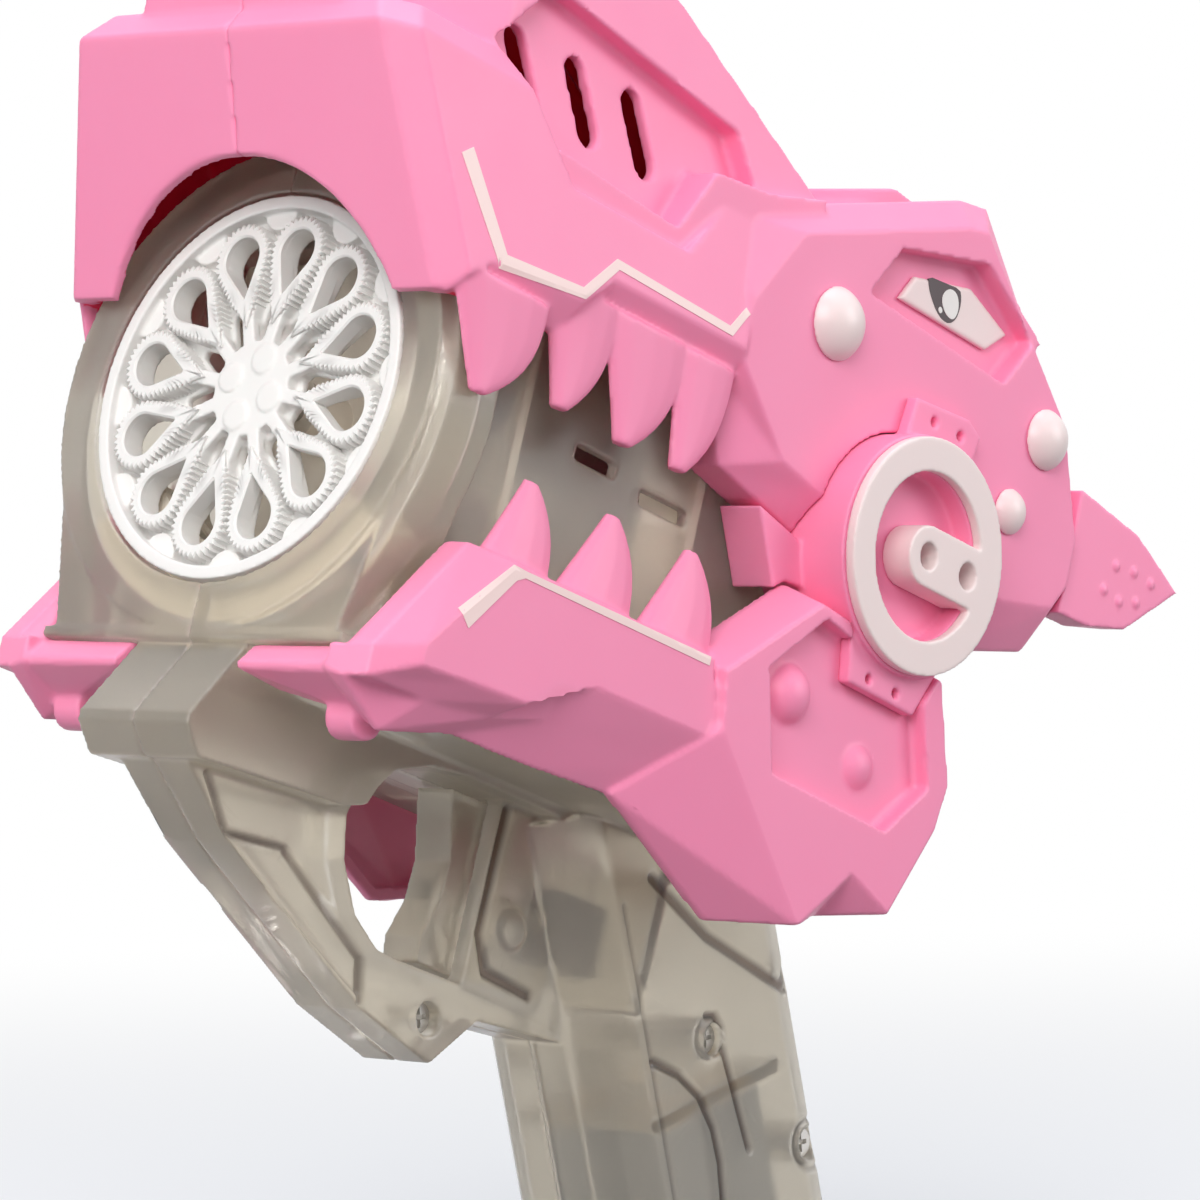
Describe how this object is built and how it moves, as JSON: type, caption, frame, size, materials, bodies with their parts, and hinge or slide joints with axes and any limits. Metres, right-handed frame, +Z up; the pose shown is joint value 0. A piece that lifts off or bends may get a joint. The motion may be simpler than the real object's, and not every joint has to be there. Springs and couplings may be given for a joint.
{
  "type": "toy bubble blower",
  "caption": "Pistol-grip toy bubble blower shaped like a mechanical dinosaur head, with a turning bubble wheel in its nozzle, a sprung trigger and a rear bottle socket.",
  "frame": {"origin": "centre of the flat base of the grip, on the floor", "axes": "+Z up, +Y to the toy's right, -X towards the nozzle; the barrel points forward and 20 degrees up"},
  "size_m": [0.2185, 0.098, 0.2521],
  "materials": {
    "pink_plastic": "moulded satin",
    "white_plastic": "moulded satin",
    "smoky_plastic": "smoky translucent",
    "cream_plastic": "moulded",
    "steel": "plated",
    "brass": "plain",
    "clear_tube": "soft translucent",
    "black_rubber": "matte",
    "black_plastic": "moulded",
    "cell_jacket": "plain jacket"
  },
  "bodies": {
    "housing": {"head_shell_left": "pink_plastic", "head_shell_right": "pink_plastic", "jaw_left": "pink_plastic", "jaw_right": "pink_plastic", "pivot_boss_left": "pink_plastic", "pivot_boss_right": "pink_plastic", "ear_fin_left": "pink_plastic", "ear_fin_right": "pink_plastic", "pivot_ring_left": "white_plastic", "pivot_ring_right": "white_plastic", "cheek_studs_left": "white_plastic", "cheek_studs_right": "white_plastic", "eye_left": "white_plastic", "eye_right": "white_plastic", "body_shell_left": "smoky_plastic", "body_shell_right": "smoky_plastic", "bottle_socket": "smoky_plastic", "battery_door": "smoky_plastic", "gear_frame_front": "cream_plastic", "gear_frame_rear": "cream_plastic", "fan_shroud": "cream_plastic", "solution_tray": "cream_plastic", "counter_pin": "steel", "motor_can": "steel", "door_screw": "steel", "body_screws": "steel", "head_screws": "steel", "jaw_screws": "steel", "battery_contacts": "brass", "feed_tube": "clear_tube", "bottle_seal": "black_rubber", "trigger_switch": "black_plastic", "battery_cells": "cell_jacket"},
    "wheel": {"bubble_wheel": "white_plastic", "wheel_shaft": "steel", "output_gear": "cream_plastic"},
    "counter": {"counter_gear": "cream_plastic"},
    "rotor": {"motor_pinion": "brass", "motor_shaft": "steel", "fan_rotor": "cream_plastic"},
    "trigger": {"trigger": "smoky_plastic"}
  },
  "joints": [
    {"name": "wheel_spin", "type": "hinge", "parent": "housing", "child": "wheel", "pos_m": [-0.1071, 0, 0.18], "axis": [0.9397, 0, -0.342], "continuous": true},
    {"name": "counter_spin", "type": "hinge", "parent": "housing", "child": "counter", "pos_m": [-0.11367, 0, 0.16196], "axis": [0.9397, 0, -0.342], "continuous": true},
    {"name": "motor_spin", "type": "hinge", "parent": "housing", "child": "rotor", "pos_m": [-0.1071, 0, 0.18], "axis": [0.9397, 0, -0.342], "continuous": true},
    {"name": "trigger_pull", "type": "slide", "parent": "housing", "child": "trigger", "axis": [0.9397, 0, -0.342], "range_m": [0, 0.006], "stiffness_N_per_m": 300, "springref_m": -0.002}
  ],
  "couplings": [
    {"joint": "counter_spin", "follows": "wheel_spin", "ratio": -5},
    {"joint": "motor_spin", "follows": "wheel_spin", "ratio": 25}
  ]
}
